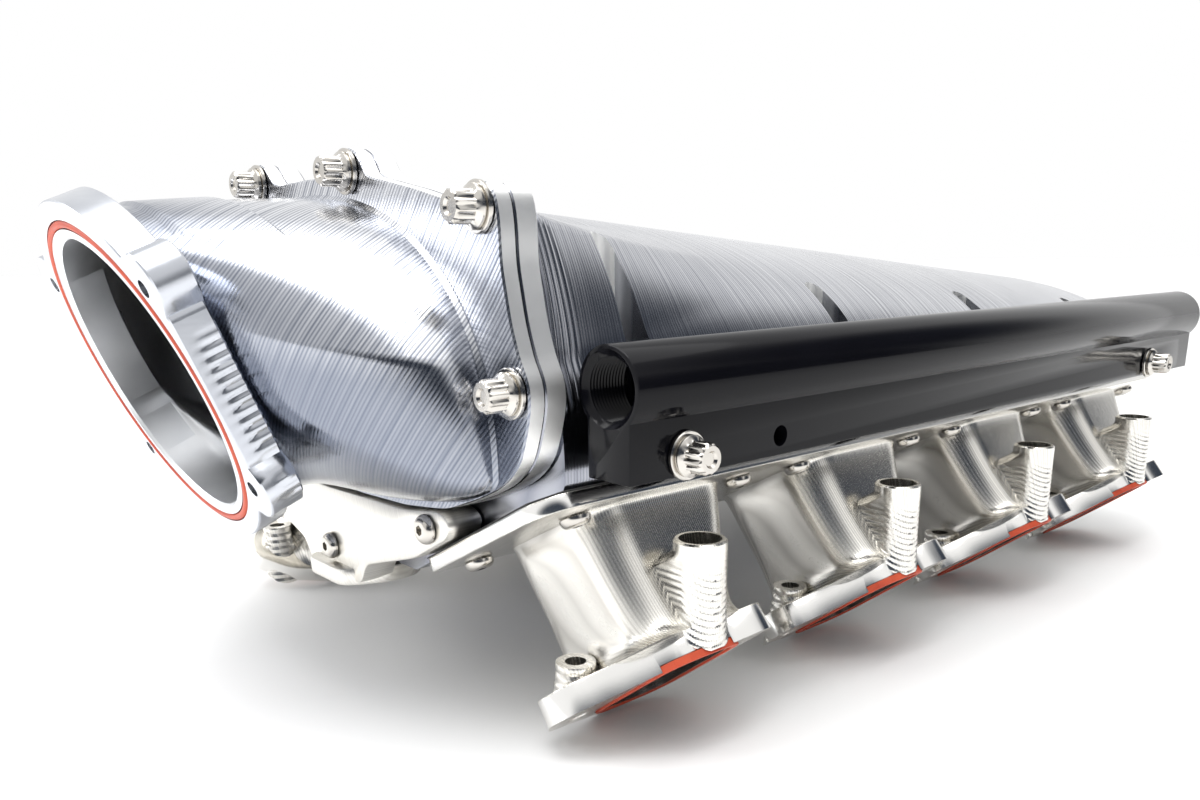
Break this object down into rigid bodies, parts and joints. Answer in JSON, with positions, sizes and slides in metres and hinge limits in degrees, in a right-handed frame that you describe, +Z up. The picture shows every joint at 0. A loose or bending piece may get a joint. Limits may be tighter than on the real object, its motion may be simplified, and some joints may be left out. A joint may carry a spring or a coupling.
{
  "type": "v8_plenum_intake_manifold",
  "caption": "Billet aluminium V-engine intake manifold with a forward throttle snout, domed plenum, two runner banks and black fuel rails",
  "frame": {"origin": "on the ground, under the middle of the bounding box", "axes": "+X to the manifold's right seen from behind the throttle end looking rearwards (+Y), +Y from the throttle end to the rear, +Z up"},
  "size_m": [0.327, 0.5321, 0.196],
  "materials": {
    "machined_aluminium": "bright billet, fine tool lines",
    "satin_aluminium": "satin billet, fine tool lines",
    "black_anodised": "gloss black anodised",
    "plated_steel": "polished nickel plate",
    "red_silicone": "moulded orange-red silicone",
    "gasket_sheet": "dark gasket sheet"
  },
  "bodies": {
    "root": {"snout": "machined_aluminium", "throttle_seal": "red_silicone", "plenum": "machined_aluminium", "joint_seal": "red_silicone", "end_plate": "satin_aluminium", "runner_bank_right": "satin_aluminium", "bank_gasket_right": "gasket_sheet", "fuel_rail_right": "black_anodised", "port_seal_right_1": "red_silicone", "port_seal_right_2": "red_silicone", "port_seal_right_3": "red_silicone", "port_seal_right_4": "red_silicone", "rail_spacer_right_1": "black_anodised", "rail_bolt_right_1": "plated_steel", "rail_spacer_right_2": "black_anodised", "rail_bolt_right_2": "plated_steel", "joint_bolt_right_1": "plated_steel", "joint_bolt_right_2": "plated_steel", "joint_bolt_right_3": "plated_steel", "bank_screw_right_1": "plated_steel", "bank_screw_right_2": "plated_steel", "bank_screw_right_3": "plated_steel", "bank_screw_right_4": "plated_steel", "bank_screw_right_5": "plated_steel", "bank_screw_right_6": "plated_steel", "bank_screw_right_7": "plated_steel", "bank_screw_right_8": "plated_steel", "bank_screw_right_9": "plated_steel", "bank_screw_right_10": "plated_steel", "runner_bank_left": "satin_aluminium", "bank_gasket_left": "gasket_sheet", "fuel_rail_left": "black_anodised", "port_seal_left_1": "red_silicone", "port_seal_left_2": "red_silicone", "port_seal_left_3": "red_silicone", "port_seal_left_4": "red_silicone", "rail_spacer_left_1": "black_anodised", "rail_bolt_left_1": "plated_steel", "rail_spacer_left_2": "black_anodised", "rail_bolt_left_2": "plated_steel", "joint_bolt_left_1": "plated_steel", "joint_bolt_left_2": "plated_steel", "joint_bolt_left_3": "plated_steel", "bank_screw_left_1": "plated_steel", "bank_screw_left_2": "plated_steel", "bank_screw_left_3": "plated_steel", "bank_screw_left_4": "plated_steel", "bank_screw_left_5": "plated_steel", "bank_screw_left_6": "plated_steel", "bank_screw_left_7": "plated_steel", "bank_screw_left_8": "plated_steel", "bank_screw_left_9": "plated_steel", "bank_screw_left_10": "plated_steel", "end_plate_screw_1": "plated_steel", "end_plate_screw_2": "plated_steel", "end_plate_screw_3": "plated_steel"}
  },
  "joints": []
}
